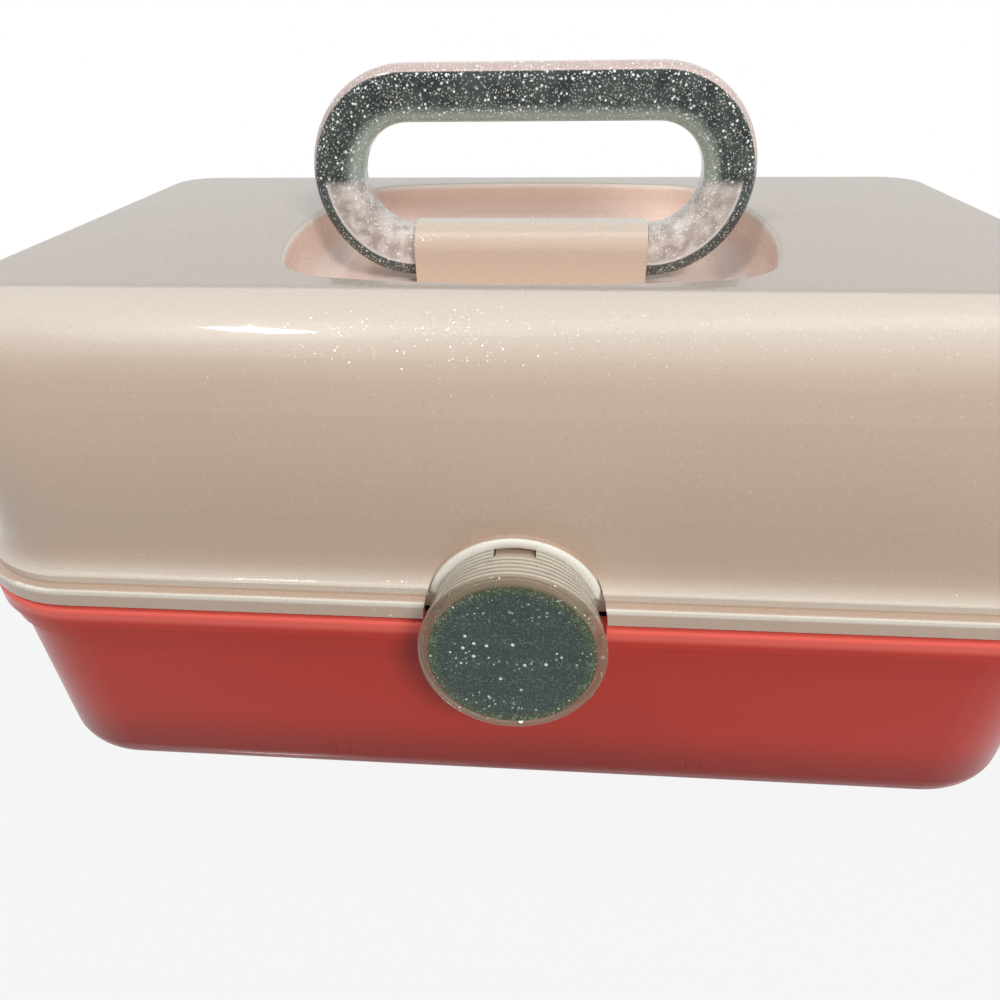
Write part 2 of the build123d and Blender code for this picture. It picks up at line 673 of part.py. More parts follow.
for x, name in zip(tray_divider_x, ("tray_divider_left", "tray_divider_right")):
    with BuildPart() as tray_divider:
        with BuildSketch(Plane.XY.offset(tray_base + tray_floor)):
            with Locations((x, (tray_front + tray_wall + tray_row_back) / 2)):
                Rectangle(divider_thickness, tray_row_back - tray_front - tray_wall - 2 * divider_fit)
        extrude(amount=tray_divider_height)
    save(tray_divider, name)

# ---- Side arms, parallel to the line from the back hinge to the tray's hanging pins ----
arm_reach = hypot(tray_arm_y - arm_pivot_y, tray_arm_z - arm_pivot_z)
arm_slope = degrees(atan2(tray_arm_z - arm_pivot_z, tray_arm_y - arm_pivot_y))
for side, name in ((-1, "tray_arm_left"), (1, "tray_arm_right")):
    with BuildPart() as tray_arm:
        with BuildSketch(Plane.YZ.offset(side * arm_x)):
            with Locations(((tray_arm_y + arm_pivot_y) / 2, (tray_arm_z + arm_pivot_z) / 2)):
                SlotCenterToCenter(arm_reach, arm_width, rotation=arm_slope)
            with Locations((arm_pivot_y, arm_pivot_z)):
                Circle(link_pin_radius + running_clearance, mode=Mode.SUBTRACT)
            with Locations((tray_arm_y, tray_arm_z)):
                Circle(link_pin_radius + arm_slack, mode=Mode.SUBTRACT)
        extrude(amount=side * arm_thickness)
    save(tray_arm, name)

# ---- Headed pins of the two links ----
for side, hand in ((-1, "left"), (1, "right")):
    with BuildPart() as arm_base_pin:
        add(rod(link_pin_radius, side * (arm_x - arm_gap / 2), side * arm_pin_end, arm_pivot_y, arm_pivot_z))
        add(rod(link_head_radius, side * (arm_x - arm_gap / 2 - link_head_height), side * (arm_x - arm_gap / 2),
                arm_pivot_y, arm_pivot_z))
    save(arm_base_pin, f"arm_base_pin_{hand}")
    outer_x = arm_x + arm_thickness + arm_gap / 2
    with BuildPart() as arm_tray_pin:
        add(rod(link_pin_radius, side * (tray_inner_x - link_boss_depth), side * outer_x, tray_arm_y, tray_arm_z))
        add(rod(link_head_radius, side * outer_x, side * (outer_x + link_head_height), tray_arm_y, tray_arm_z))
    save(arm_tray_pin, f"arm_tray_pin_{hand}")
    head_x = tray_inner_x - link_boss_depth - arm_gap / 2
    with BuildPart() as lid_tray_pin:
        add(rod(link_pin_radius, side * head_x, side * lid_pin_end, tray_pivot_y, tray_pivot_z))
        add(rod(link_head_radius, side * (head_x - link_head_height), side * head_x, tray_pivot_y, tray_pivot_z))
    save(lid_tray_pin, f"lid_tray_pin_{hand}")

# ---- Loose dividers of the base: one long, two across its front ----
foot_relief = base_inner_radius + divider_fit
with BuildPart() as base_divider_long:
    with BuildSketch(Plane.XZ.offset(-divider_y - divider_thickness / 2)):
        with Locations((0, base_floor + divider_height / 2)):
            Rectangle(2 * (cavity_foot_x - divider_fit), divider_height)
        fillet(vertices().group_by(Axis.Y)[0], foot_relief)
    extrude(amount=divider_thickness)
save(base_divider_long, "base_divider_long")

cross_back = divider_y - divider_thickness / 2 - divider_fit
cross_front = -cavity_foot_y + divider_fit
for x, name in zip(divider_cross_x, ("base_divider_left", "base_divider_right")):
    with BuildPart() as base_divider:
        with BuildSketch(Plane.YZ.offset(x - divider_thickness / 2)):
            with Locations(((cross_front + cross_back) / 2, base_floor + divider_height / 2)):
                Rectangle(cross_back - cross_front, divider_height)
            fillet(vertices().group_by(Axis.Y)[0].sort_by(Axis.X)[0], foot_relief)
        extrude(amount=divider_thickness)
    save(base_divider, name)
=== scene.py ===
"""Looks of a hard plastic make-up case with a glitter handle, a round latch and a rising tray.

Metres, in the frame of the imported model: +X along the case, the latch faces -Y, +Z is up.
"""

import logging
import math
from dataclasses import dataclass, field
from enum import Enum
from typing import Any, Optional, Union

import bmesh
import bpy
from mathutils import Matrix, Vector


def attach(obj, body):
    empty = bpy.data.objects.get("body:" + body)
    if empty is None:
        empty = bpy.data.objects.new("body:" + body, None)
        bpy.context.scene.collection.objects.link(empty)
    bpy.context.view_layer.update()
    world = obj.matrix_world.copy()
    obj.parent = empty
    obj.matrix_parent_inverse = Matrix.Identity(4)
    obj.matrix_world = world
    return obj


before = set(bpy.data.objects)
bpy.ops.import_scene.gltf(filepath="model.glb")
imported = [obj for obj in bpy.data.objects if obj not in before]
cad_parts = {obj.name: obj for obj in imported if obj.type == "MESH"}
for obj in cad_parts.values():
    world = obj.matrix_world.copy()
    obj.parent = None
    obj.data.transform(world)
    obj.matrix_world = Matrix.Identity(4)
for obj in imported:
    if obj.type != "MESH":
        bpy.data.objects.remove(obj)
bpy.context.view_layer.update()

logging.basicConfig(level=logging.INFO, format="%(levelname)s %(message)s")
log = logging.getLogger("case")

Color = tuple[float, float, float]
Place = tuple[float, float, float]
Value = Union["Signal", float, tuple]


class LampShape(Enum):
    """The outline of a soft lamp, by its name in the lamp's settings."""

    PANEL = "RECTANGLE"
    OVAL = "ELLIPSE"


# ---------------------------------------------------------------- shader maths


class Signal:
    """A shader socket that takes part in Python arithmetic; every step adds a Math node."""

    def __init__(self, graph: "Graph", socket: bpy.types.NodeSocket) -> None:
        """Wraps one output socket.

        Args:
            graph: The node tree that new nodes go into.
            socket: The output socket.
        """
        self.graph = graph
        self.socket = socket

    def _math(self, operation: str, *values: Value) -> "Signal":
        """One Math node on the given values."""
        return self.graph.node("ShaderNodeMath", {"operation": operation}, dict(enumerate(values)))

    def __add__(self, other: Value) -> "Signal":
        """The sum."""
        return self._math("ADD", self, other)

    __radd__ = __add__

    def __sub__(self, other: Value) -> "Signal":
        """The difference."""
        return self._math("SUBTRACT", self, other)

    def __rsub__(self, other: Value) -> "Signal":
        """The difference, turned round."""
        return self._math("SUBTRACT", other, self)

    def __mul__(self, other: Value) -> "Signal":
        """The product."""
        return self._math("MULTIPLY", self, other)

    __rmul__ = __mul__

    def __truediv__(self, other: Value) -> "Signal":
        """The quotient."""
        return self._math("DIVIDE", self, other)

    def __pow__(self, other: Value) -> "Signal":
        """The power."""
        return self._math("POWER", self, other)

    def __abs__(self) -> "Signal":
        """The size without its sign."""
        return self._math("ABSOLUTE", self)

    def __gt__(self, other: Value) -> "Signal":
        """1 where this is greater."""
        return self._math("GREATER_THAN", self, other)

    def __lt__(self, other: Value) -> "Signal":
        """1 where this is less."""
        return self._math("LESS_THAN", self, other)

    def most(self, other: Value) -> "Signal":
        """The larger of the two."""
        return self._math("MAXIMUM", self, other)

    def least(self, other: Value) -> "Signal":
        """The smaller of the two."""
        return self._math("MINIMUM", self, other)

    def root(self) -> "Signal":
        """The square root."""
        return self._math("SQRT", self)

    def rise(self, low: float, high: float) -> "Signal":
        """A smooth step from 0 at low to 1 at high.

        Args:
            low: Where the step starts.
            high: Where it ends; below low, the step falls.

        Returns:
            The step, from 0 to 1.
        """
        return self.graph.node("ShaderNodeMapRange", {"interpolation_type": "SMOOTHSTEP"},
                               {"Value": self, "From Min": low, "From Max": high})


class Graph:
    """The node tree of one material, with the few patterns that this case's finishes share."""

    def __init__(self, name: str) -> None:
        """Makes an empty material.

        Args:
            name: The material's name.
        """
        self.material = bpy.data.materials.new(name)
        self.material.use_nodes = True
        self.tree = self.material.node_tree
        self.tree.nodes.clear()
        self.place = self.node("ShaderNodeTexCoord", {}, {}, "Object")
        self.x, self.y, self.z = (self.split(self.place, axis) for axis in "XYZ")

    def node(self, kind: str, settings: dict[str, Any], inputs: dict[Any, Value],
             output: Union[int, str] = 0) -> Signal:
        """Adds a node, sets it and feeds it.

        Args:
            kind: The node's type.
            settings: Its properties, or a ramp's stops.
            inputs: The values or signals of its sockets, by name or number.
            output: The socket that is returned.

        Returns:
            The chosen output.
        """
        made = self.tree.nodes.new(kind)
        for key, value in settings.items():
            if key == "stops":
                ramp = made.color_ramp.elements
                while len(ramp) < len(value):
                    ramp.new(0.5)
                for element, (position, color) in zip(ramp, value):
                    element.position = position
                    element.color = (*color, 1.0)
            else:
                setattr(made, key, value)
        for key, value in inputs.items():
            if isinstance(value, Signal):
                self.tree.links.new(value.socket, made.inputs[key])
            elif made.inputs[key].type == "RGBA" and len(value) == 3:
                made.inputs[key].default_value = (*value, 1.0)
            else:
                made.inputs[key].default_value = value
        return Signal(self, made.outputs[output])

    def split(self, vector: Signal, axis: str) -> Signal:
        """One component of a vector or colour."""
        return self.node("ShaderNodeSeparateXYZ", {}, {0: vector}, axis)

    def vector(self, operation: str, first: Value, second: Value) -> Signal:
        """One Vector Math node on two vectors."""
        return self.node("ShaderNodeVectorMath", {"operation": operation}, {0: first, 1: second})

    def mix(self, share: Value, low: Value, high: Value) -> Signal:
        """A blend of two colours.

        Args:
            share: 0 gives low and 1 gives high.
            low: The first colour.
            high: The second colour.

        Returns:
            The blended colour.
        """
        return self.node("ShaderNodeMix", {"data_type": "RGBA"}, {0: share, 6: low, 7: high}, 2)

    def noise(self, size: float, detail: float = 2.0) -> Signal:
        """Smooth noise from 0 to 1.

        Args:
            size: The size of one patch, in metres.
            detail: How many finer layers it has.

        Returns:
            The noise.
        """
        return self.node("ShaderNodeTexNoise", {},
                         {"Vector": self.place, "Scale": 1.0 / size, "Detail": detail})

    def cells(self, size: float, offset: Place) -> tuple[Signal, Signal]:
        """Random cells.

        Args:
            size: The mean size of a cell, in metres.
            offset: Moves the pattern.

        Returns:
            The distance from the cell's centre in cell sizes, and the cell's random colour.
        """
        distance = self.node("ShaderNodeTexVoronoi", {},
                             {"Vector": self.vector("ADD", self.place, offset), "Scale": 1.0 / size})
        return distance, Signal(self, distance.socket.node.outputs["Color"])

    def bump(self, height: Signal, depth: float, normal: Optional[Signal] = None) -> Signal:
        """A normal from a height pattern.

        Args:
            height: The pattern.
            depth: The height of its full range, in metres.
            normal: The normal that it is laid over, or None for the surface's own.

        Returns:
            The normal.
        """
        under = {} if normal is None else {"Normal": normal}
        return self.node("ShaderNodeBump", {}, {"Height": height, "Distance": depth, **under})

    def tilted(self, normal: Signal, color: Signal, amount: Value) -> Signal:
        """Turns a normal by a flake's random colour.

        Args:
            normal: The surface's own normal.
            color: The flake's random colour.
            amount: How far it turns.

        Returns:
            The turned normal.
        """
        centred = self.vector("SUBTRACT", color, (0.5, 0.5, 0.5))
        turn = self.node("ShaderNodeVectorMath", {"operation": "SCALE"}, {0: centred, "Scale": amount})
        total = self.vector("ADD", normal, turn)
        return self.node("ShaderNodeVectorMath", {"operation": "NORMALIZE"}, {0: total})

    def finish(self, sockets: dict[str, Value]) -> bpy.types.Material:
        """Closes the tree with one Principled shader.

        Args:
            sockets: The values or signals of the shader's sockets.

        Returns:
            The finished material.
        """
        surface = self.node("ShaderNodeBsdfPrincipled", {}, sockets)
        output = self.tree.nodes.new("ShaderNodeOutputMaterial")
        self.tree.links.new(surface.socket, output.inputs["Surface"])
        return self.material


# ---------------------------------------------------------------- finishes


FLAKE_CORE = 0.72  # the share of a flake's radius that is solid before its edge fades
SOME_DETAIL = 3.0  # how many finer layers a middling noise has
MUCH_DETAIL = 4.0  # how many a busy noise has


@dataclass(frozen=True)
class Flakes:
    """One layer of glitter, cut by the surface at random heights so that the flakes differ in size.

    Spacing and radius are in metres, and share is the share of places that hold a flake. Glint, metal,
    gloss and tilt say how far a flake brightens, silvers, smooths and turns the surface.
    """

    spacing: float
    radius: float
    share: float
    offset: Place
    glint: float = 1.0
    metal: float = 0.0
    gloss: float = 0.0
    tilt: float = 0.0

    def scatter(self, graph: Graph) -> tuple[Signal, Signal, Signal]:
        """Scatters the flakes over the surface.

        Args:
            graph: The material's nodes.

        Returns:
            The flakes' mask, a random number for each flake, and its random colour.
        """
        distance, color = graph.cells(self.spacing, self.offset)
        reach = self.radius / self.spacing
        dot = distance.rise(reach, reach * FLAKE_CORE)
        return dot * (graph.split(color, "X") < self.share), graph.split(color, "Y"), color


@dataclass(frozen=True)
class PaintedBand:
    """Painted light and shade: a tone over a range of heights, which may end sharply at a third height."""

    color: Color
    start: float
    full: float
    share: float = 1.0
    end: Optional[float] = None

    def over(self, graph: Graph, tone: Signal) -> Signal:
        """Lays the band over a tone.

        Args:
            graph: The material's nodes.
            tone: The colour under the band.

        Returns:
            The colour with the band.
        """
        mask = graph.z.rise(self.start, self.full)
        if self.end is not None:
            mask = mask * (graph.z < self.end if self.full > self.start else graph.z > self.end)
        return graph.mix(mask * self.share, tone, self.color)


@dataclass(frozen=True)
class Recess:
    """The colour of the dished place under the handle, inside the box that holds it."""

    color: Color
    half_x: float
    half_y: float
    rim_height: float
    low_height: float
    rim_fade: float = 0.0012

    def over(self, graph: Graph, tone: Signal) -> Signal:
        """Lays the recess's colour over a tone.

        Args:
            graph: The material's nodes.
            tone: The colour round the recess.

        Returns:
            The colour with the recess.
        """
        inside = (abs(graph.x) < self.half_x) * (abs(graph.y) < self.half_y) * (graph.z > self.low_height)
        below = graph.z.rise(self.rim_height, self.rim_height - self.rim_fade)
        return graph.mix(inside * below, tone, self.color)


@dataclass(frozen=True)
class Finish:
    """A plain moulded gloss plastic: small colour drift, a faint moulding skin and a clear gloss."""

    name: str
    color: Color
    roughness: float = 0.3
    coat: float = 0.4
    coat_roughness: float = 0.08
    specular: float = 0.5
    layers: tuple[Union[PaintedBand, Recess], ...] = ()
    drift: float = 0.06
    drift_size: float = 0.07
    gloss_swing: float = 0.08
    gloss_size: float = 0.012
    skin_size: float = 0.0016
    skin_depth: float = 0.00002

    def tone(self, graph: Graph) -> Signal:
        """The colour with its slow drift, under the finish's layers."""
        deep = tuple(c * (1.0 - self.drift) for c in self.color)
        light = tuple(min(1.0, c * (1.0 + self.drift)) for c in self.color)
        tone = graph.mix(graph.noise(self.drift_size), deep, light)
        for layer in self.layers:
            tone = layer.over(graph, tone)
        return tone

    def sockets(self, graph: Graph) -> dict[str, Value]:
        """What this finish feeds to the shader."""
        swing = self.gloss_swing * (graph.noise(self.gloss_size, MUCH_DETAIL) - 0.5)
        return {
            "Base Color": self.tone(graph),
            "Roughness": self.roughness + swing,
            "Normal": graph.bump(graph.noise(self.skin_size, SOME_DETAIL), self.skin_depth),
            "Coat Weight": self.coat,
            "Coat Roughness": self.coat_roughness,
            "Specular IOR Level": self.specular,
        }

    def material(self) -> bpy.types.Material:
        """The Blender material of this finish."""
        graph = Graph(self.name)
        return graph.finish(self.sockets(graph))


@dataclass(frozen=True)
class PearlPlastic(Finish):
    """Pearl plastic with two layers of sparkle; its coarse glints are painted brightest on the lid's crown.
    """

    sparkle: float = 0.6
    fine: Flakes = Flakes(0.0006, 0.00024, 0.40, (0.3, 0.1, 0.7), glint=0.28, metal=0.15, gloss=0.22,
                          tilt=0.8)
    coarse: Flakes = Flakes(0.0015, 0.00019, 0.40, (0.9, 0.4, 0.2), metal=0.3, gloss=0.2, tilt=0.9)
    glint_color: Color = (1.0, 0.93, 0.82)
    bright_range: tuple[float, float] = (0.3, 1.0)
    crown_glint_heights: tuple[float, float] = (0.108, 0.132)
    wall_glint: float = 0.25

    def sockets(self, graph: Graph) -> dict[str, Value]:
        """The plain plastic's sockets with the sparkle."""
        sockets = super().sockets(graph)
        fine, fine_luck, fine_color = self.fine.scatter(graph)
        coarse, coarse_luck, coarse_color = self.coarse.scatter(graph)
        # Painted glints: coarse flakes are painted brighter on the crown, where the highlight falls.
        crown = graph.z.rise(*self.crown_glint_heights)
        bright = coarse_luck.rise(*self.bright_range) * (self.wall_glint + crown * (1.0 - self.wall_glint))
        glint = (fine * fine_luck * self.fine.glint).most(coarse * bright) * self.sparkle
        sockets["Base Color"] = graph.mix(glint.least(1.0), sockets["Base Color"], self.glint_color)
        sockets["Metallic"] = (fine * self.fine.metal).most(coarse * self.coarse.metal) * self.sparkle
        sockets["Roughness"] = sockets["Roughness"] - fine * self.fine.gloss - coarse * self.coarse.gloss
        normal = graph.tilted(sockets["Normal"], fine_color, fine * self.sparkle * self.fine.tilt)
        sockets["Normal"] = graph.tilted(normal, coarse_color, coarse * self.sparkle * self.coarse.tilt)
        return sockets


@dataclass(frozen=True)
class GlitterBar(Finish):
    """The handle's resin, clear and full of silver flakes: painted smoky teal above, clear and pink below.

    The smoky teal above is painted: it stands in for the dark surroundings seen through the clear resin,
    and the bar's colour is its darkest. A face or an edge is a range of distances outwards from the bar's
    centre line.
    """

    # Painted: the smoky teal stands in for the dark surroundings seen through the clear resin; this is its
    # lighter cloud.
    light_painted_smoke: Color = (0.070, 0.094, 0.083)
    painted_smoke_size: float = 0.006
    painted_smoke_range: tuple[float, float] = (0.25, 0.75)
    # Painted light: the inner face is painted paler and given a glow, as if lit through the resin.
    inner_painted_light: Color = (0.36, 0.44, 0.41)
    inner_painted_glow: Color = (0.085, 0.105, 0.092)
    inner_share: float = 0.7
    inner_face: tuple[float, float] = (-0.0024, -0.0062)
    # Painted: a pink band round the top outer edge, standing in for the pink lid seen through the resin.
    painted_rim_pinks: tuple[Color, Color] = ((0.66, 0.50, 0.47), (0.80, 0.65, 0.61))
    rim_face: tuple[float, float] = (0.0064, 0.0068)
    rim_heights: tuple[float, float] = (0.160, 0.170)
    rim_lift: float = 0.0009
    rim_size: float = 0.003
    # The clear ends' lilac tint, clouded with painted streaks of light near white.
    clear_tint_and_painted_streaks: tuple[Color, Color] = ((0.56, 0.49, 0.46), (1.0, 0.96, 0.93))
    clear_size: float = 0.004
    clear_range: tuple[float, float] = (0.3, 0.7)
    clear_height: float = 0.1615
    clear_fade: float = 0.0018
    clear_body: float = 0.72
    # Painted highlight: a pale line inside the dark outer edge of the clear ends.
    painted_highlight_line: Color = (0.97, 0.96, 0.95)
    painted_highlight_edge: tuple[float, float] = (0.0022, 0.0028)
    # Painted shade: a dark line along the outer edge of the clear ends.
    painted_shade_line: Color = (0.085, 0.105, 0.105)
    painted_shade_edge: tuple[float, float] = (0.0030, 0.0036)
    axis_height: float = 0.1405
    bend_radius: float = 0.02285
    bend_x: float = 0.0378
    big: Flakes = Flakes(0.0017, 0.00044, 0.80, (0.2, 0.6, 0.4), tilt=0.5)
    small: Flakes = Flakes(0.00072, 0.00028, 0.95, (0.8, 0.3, 0.9), glint=0.9, tilt=0.4)
    flake_color: Color = (0.93, 0.96, 0.95)
    # Painted light: the glints glow a little of their own.
    flake_painted_glow: Color = (0.22, 0.23, 0.22)
    dull_flake_color: Color = (0.42, 0.40, 0.38)
    silver_from: float = 0.5
    bright_range: tuple[float, float] = (0.0, 0.8)
    clear_glint: float = 0.7
    glint_roughness: float = 0.12
    glint_metal: float = 0.1
    wave_size: float = 0.004
    wave_depth: float = 0.00006

    def across(self, graph: Graph) -> tuple[Signal, Signal]:
        """Where a point lies across the bar.

        Args:
            graph: The material's nodes.

        Returns:
            The distance outwards from the bar's centre line, and how far that direction points up.
        """
        along = (abs(graph.x) - self.bend_x).most(0.0)
        up = graph.z - (self.axis_height + self.bend_radius)
        radius = (along * along + up * up).root()
        return radius - self.bend_radius, (up / radius).most(0.0)

    def upper(self, graph: Graph, out: Signal, lift: Signal, inner: Signal) -> Signal:
        """The upper part: painted smoky teal, a painted paler inner face and a painted pink rim band.

        Args:
            graph: The material's nodes.
            out: The distance outwards from the centre line.
            lift: How far that direction points up.
            inner: The mask of the inner face.

        Returns:
            The colour.
        """
        # Painted: smoky teal for the dark surroundings seen through the resin, a paler inner face and a pink
        # rim band.
        cloud = graph.noise(self.painted_smoke_size, SOME_DETAIL).rise(*self.painted_smoke_range)
        painted_smoke = graph.mix(cloud, self.color, self.light_painted_smoke)
        painted_smoke = graph.mix(inner * self.inner_share, painted_smoke, self.inner_painted_light)
        rim = (out + lift * self.rim_lift).rise(*self.rim_face) * graph.z.rise(*self.rim_heights)
        return graph.mix(rim, painted_smoke, graph.mix(graph.noise(self.rim_size), *self.painted_rim_pinks))

    def lower(self, graph: Graph, out: Signal, edge: Signal) -> Signal:
        """The clear lower ends: painted streaks of light, and a painted highlight inside painted edge shade.

        Args:
            graph: The material's nodes.
            out: The distance outwards from the centre line.
            edge: The mask of the painted shade along the outer edge.

        Returns:
            The colour.
        """
        # Painted streaks of light in the clear ends, then a painted highlight line and painted edge shade.
        cloud = graph.noise(self.clear_size, SOME_DETAIL).rise(*self.clear_range)
        clear = graph.mix(cloud, *self.clear_tint_and_painted_streaks)
        return graph.mix(edge, graph.mix(out.rise(*self.painted_highlight_edge), clear, self.painted_highlight_line), self.painted_shade_line)

    def sockets(self, graph: Graph) -> dict[str, Value]:
        """The two parts of the bar, then flakes of two sizes."""
        out, lift = self.across(graph)
        inner = out.rise(*self.inner_face)
        edge = out.rise(*self.painted_shade_edge)
        high = graph.z.rise(self.clear_height - self.clear_fade, self.clear_height + self.clear_fade)
        body = graph.mix(high, self.lower(graph, out, edge), self.upper(graph, out, lift, inner))
        big, big_luck, big_color = self.big.scatter(graph)
        small, small_luck, small_color = self.small.scatter(graph)
        shine = high * (1.0 - self.clear_glint) + self.clear_glint
        bright = big * big_luck.rise(*self.bright_range)
        glint = bright.most(small * small_luck * self.small.glint) * shine
        silver = graph.mix(high.most(small_luck > self.silver_from), self.dull_flake_color,
                           self.flake_color)
        # Painted glow on the glints.
        glow = graph.mix(glint, (0.0, 0.0, 0.0), self.flake_painted_glow)
        waves = graph.bump(graph.noise(self.wave_size), self.wave_depth)
        normal = graph.tilted(waves, big_color, big * self.big.tilt)
        return {
            "Base Color": graph.mix(glint, body, silver),
            "Roughness": self.roughness + glint * self.glint_roughness,
            "Metallic": glint * self.glint_metal,
            "Alpha": (self.clear_body + high * (1.0 - self.clear_body) + edge + glint).least(1.0),
            # Painted glow: the inner face glows as if lit through the resin, and the glints glow too.
            "Emission Color": graph.mix(inner * high, glow, self.inner_painted_glow),
            "Emission Strength": 1.0,
            "Normal": graph.tilted(normal, small_color, small * self.small.tilt),
            "Coat Weight": self.coat,
            "Coat Roughness": self.coat_roughness,
            "Specular IOR Level": self.specular,
        }


@dataclass(frozen=True)
class GlitterDisc(Finish):
    """The latch's disc: dark green-grey, with dense fine glitter and a greener edge."""

    light_ground: Color = (0.068, 0.103, 0.088)
    ground_size: float = 0.004
    edge_color: Color = (0.095, 0.125, 0.042)
    edge_share: float = 0.7
    edge_dust: float = 0.3
    flake_color: Color = (0.86, 0.93, 0.90)
    centre_height: float = 0.071
    edge_radii: tuple[float, float] = (0.01785, 0.02079)
    dust: Flakes = Flakes(0.00050, 0.00023, 0.8, (0.1, 0.9, 0.5), glint=0.18, tilt=0.35)
    fine: Flakes = Flakes(0.0012, 0.00036, 0.55, (0.6, 0.2, 0.8), tilt=0.4)
    big: Flakes = Flakes(0.0030, 0.00052, 0.50, (0.4, 0.7, 0.1))
    fine_power: float = 4.0
    bright_range: tuple[float, float] = (0.2, 0.8)
    glint_metal: float = 0.3
    wave_size: float = 0.003
    wave_depth: float = 0.00003

    def sockets(self, graph: Graph) -> dict[str, Value]:
        """Dense flakes in three sizes over the dark ground."""
        up = graph.z - self.centre_height
        edge = (graph.x * graph.x + up * up).root().rise(*self.edge_radii)
        ground = graph.mix(graph.noise(self.ground_size, MUCH_DETAIL), self.color, self.light_ground)
        ground = graph.mix(edge * self.edge_share, ground, self.edge_color)
        dust, dust_luck, dust_color = self.dust.scatter(graph)
        fine, fine_luck, fine_color = self.fine.scatter(graph)
        big, big_luck, _ = self.big.scatter(graph)
        glint = dust * dust_luck * (self.dust.glint + edge * self.edge_dust)
        glint = glint.most(fine * fine_luck ** self.fine_power)
        glint = glint.most(big * big_luck.rise(*self.bright_range))
        normal = graph.tilted(graph.bump(graph.noise(self.wave_size), self.wave_depth), dust_color,
                              dust * self.dust.tilt)
        return {
            "Base Color": graph.mix(glint.least(1.0), ground, self.flake_color),
            "Roughness": self.roughness,
            "Metallic": glint * self.glint_metal,
            "Normal": graph.tilted(normal, fine_color, fine * self.fine.tilt),
            "Coat Weight": self.coat,
            "Coat Roughness": self.coat_roughness,
            "Specular IOR Level": self.specular,
        }


@dataclass(frozen=True)
class ClearPlastic(Finish):
    """Clear plastic that is seen through, with or without glitter in it."""

    body: float = 1.0
    edge_body: float = 0.8
    facing_blend: float = 0.35
    ior: float = 1.47
    glitter: float = 0.0
    fine: Flakes = Flakes(0.0012, 0.00032, 0.40, (0.5, 0.5, 0.1), tilt=0.5)
    big: Flakes = Flakes(0.0034, 0.0007, 0.30, (0.1, 0.8, 0.6), tilt=0.5)
    flake_color: Color = (0.95, 0.93, 0.86)
    bright_range: tuple[float, float] = (0.1, 0.9)
    glint_metal: float = 0.8

    def thickness(self, graph: Graph) -> Signal:
        """How much of the wall is seen: more where it is looked at along its face."""
        edge = graph.node("ShaderNodeLayerWeight", {}, {"Blend": self.facing_blend}, "Facing")
        return (self.body + edge * (1.0 - self.body) * self.edge_body).least(1.0)

    def sockets(self, graph: Graph) -> dict[str, Value]:
        """The plain plastic's sockets, seen through, with scattered flakes."""
        sockets = super().sockets(graph)
        sockets["IOR"] = self.ior
        sockets["Alpha"] = self.thickness(graph)
        if self.glitter:
            fine, fine_luck, fine_color = self.fine.scatter(graph)
            big, big_luck, big_color = self.big.scatter(graph)
            bright = big * big_luck.rise(*self.bright_range)
            glint = ((fine * fine_luck).most(bright) * self.glitter).least(1.0)
            sockets["Base Color"] = graph.mix(glint, sockets["Base Color"], self.flake_color)
            sockets["Metallic"] = glint * self.glint_metal
            sockets["Alpha"] = sockets["Alpha"].most(glint)
            normal = graph.tilted(sockets["Normal"], fine_color, fine * self.fine.tilt)
            sockets["Normal"] = graph.tilted(normal, big_color, big * self.big.tilt)
        return sockets


@dataclass(frozen=True)
class RidgedCup(ClearPlastic):
    """The latch's clear cup: a thin rim round the disc, and a creamy wall with fine ridges behind it."""

    face_place: tuple[float, float] = (-0.1185, 0.071)
    face_tilt: float = 4.5
    ridge_pitch: float = 0.0019
    ridge_depth: float = 0.0004
    # Painted shade: alternate rings on the wall are painted darker by this share.
    ridge_shade: float = 0.84
    ridge_body: float = 0.25
    rim_depths: tuple[float, float] = (0.0004, 0.0016)
    rim_color: Color = (0.31, 0.21, 0.11)
    rim_body: float = 0.9

    def depth(self, graph: Graph) -> Signal:
        """The distance behind the tilted face, in metres."""
        tilt = math.radians(self.face_tilt)
        y, z = self.face_place
        return (graph.y - y) * math.cos(tilt) - (graph.z - z) * math.sin(tilt)

    def wall(self, graph: Graph) -> Signal:
        """0 on the rim and 1 on the wall behind it."""
        return self.depth(graph).rise(*self.rim_depths)

    def ridges(self, graph: Graph) -> Signal:
        """Rings round the wall, from 0 to 1."""
        wave = graph.node("ShaderNodeMath", {"operation": "SINE"},
                          {0: self.depth(graph) * (math.tau / self.ridge_pitch)})
        return wave * 0.5 + 0.5

    def tone(self, graph: Graph) -> Signal:
        """The wall's cream with lighter and darker rings of painted light and shade, and the rim's clear
        brown.
        """
        shade = tuple(c * self.ridge_shade for c in self.color)
        return graph.mix(self.wall(graph), self.rim_color, graph.mix(self.ridges(graph), shade, self.color))

    def thickness(self, graph: Graph) -> Signal:
        """Clear on the rim and half clear on the wall."""
        wall = self.wall(graph)
        lines = self.ridges(graph) * self.ridge_body + self.body
        return (super().thickness(graph) * (1.0 - wall) * self.rim_body + lines * wall).least(1.0)

    def sockets(self, graph: Graph) -> dict[str, Value]:
        """The clear plastic's sockets with the ridges in its surface."""
        sockets = super().sockets(graph)
        height = self.ridges(graph) * self.wall(graph)
        sockets["Normal"] = graph.bump(height, self.ridge_depth, sockets["Normal"])
        return sockets


@dataclass(frozen=True)
class BrightMetal(Finish):
    """Drawn steel wire or silvered glass."""

    grain: float = 0.0004
    grain_swing: float = 0.5

    def sockets(self, graph: Graph) -> dict[str, Value]:
        """Metal with a fine grain in its gloss."""
        return {
            "Base Color": self.tone(graph),
            "Metallic": 1.0,
            "Roughness": self.roughness * (1.0 + graph.noise(self.grain, MUCH_DETAIL) * self.grain_swing),
        }


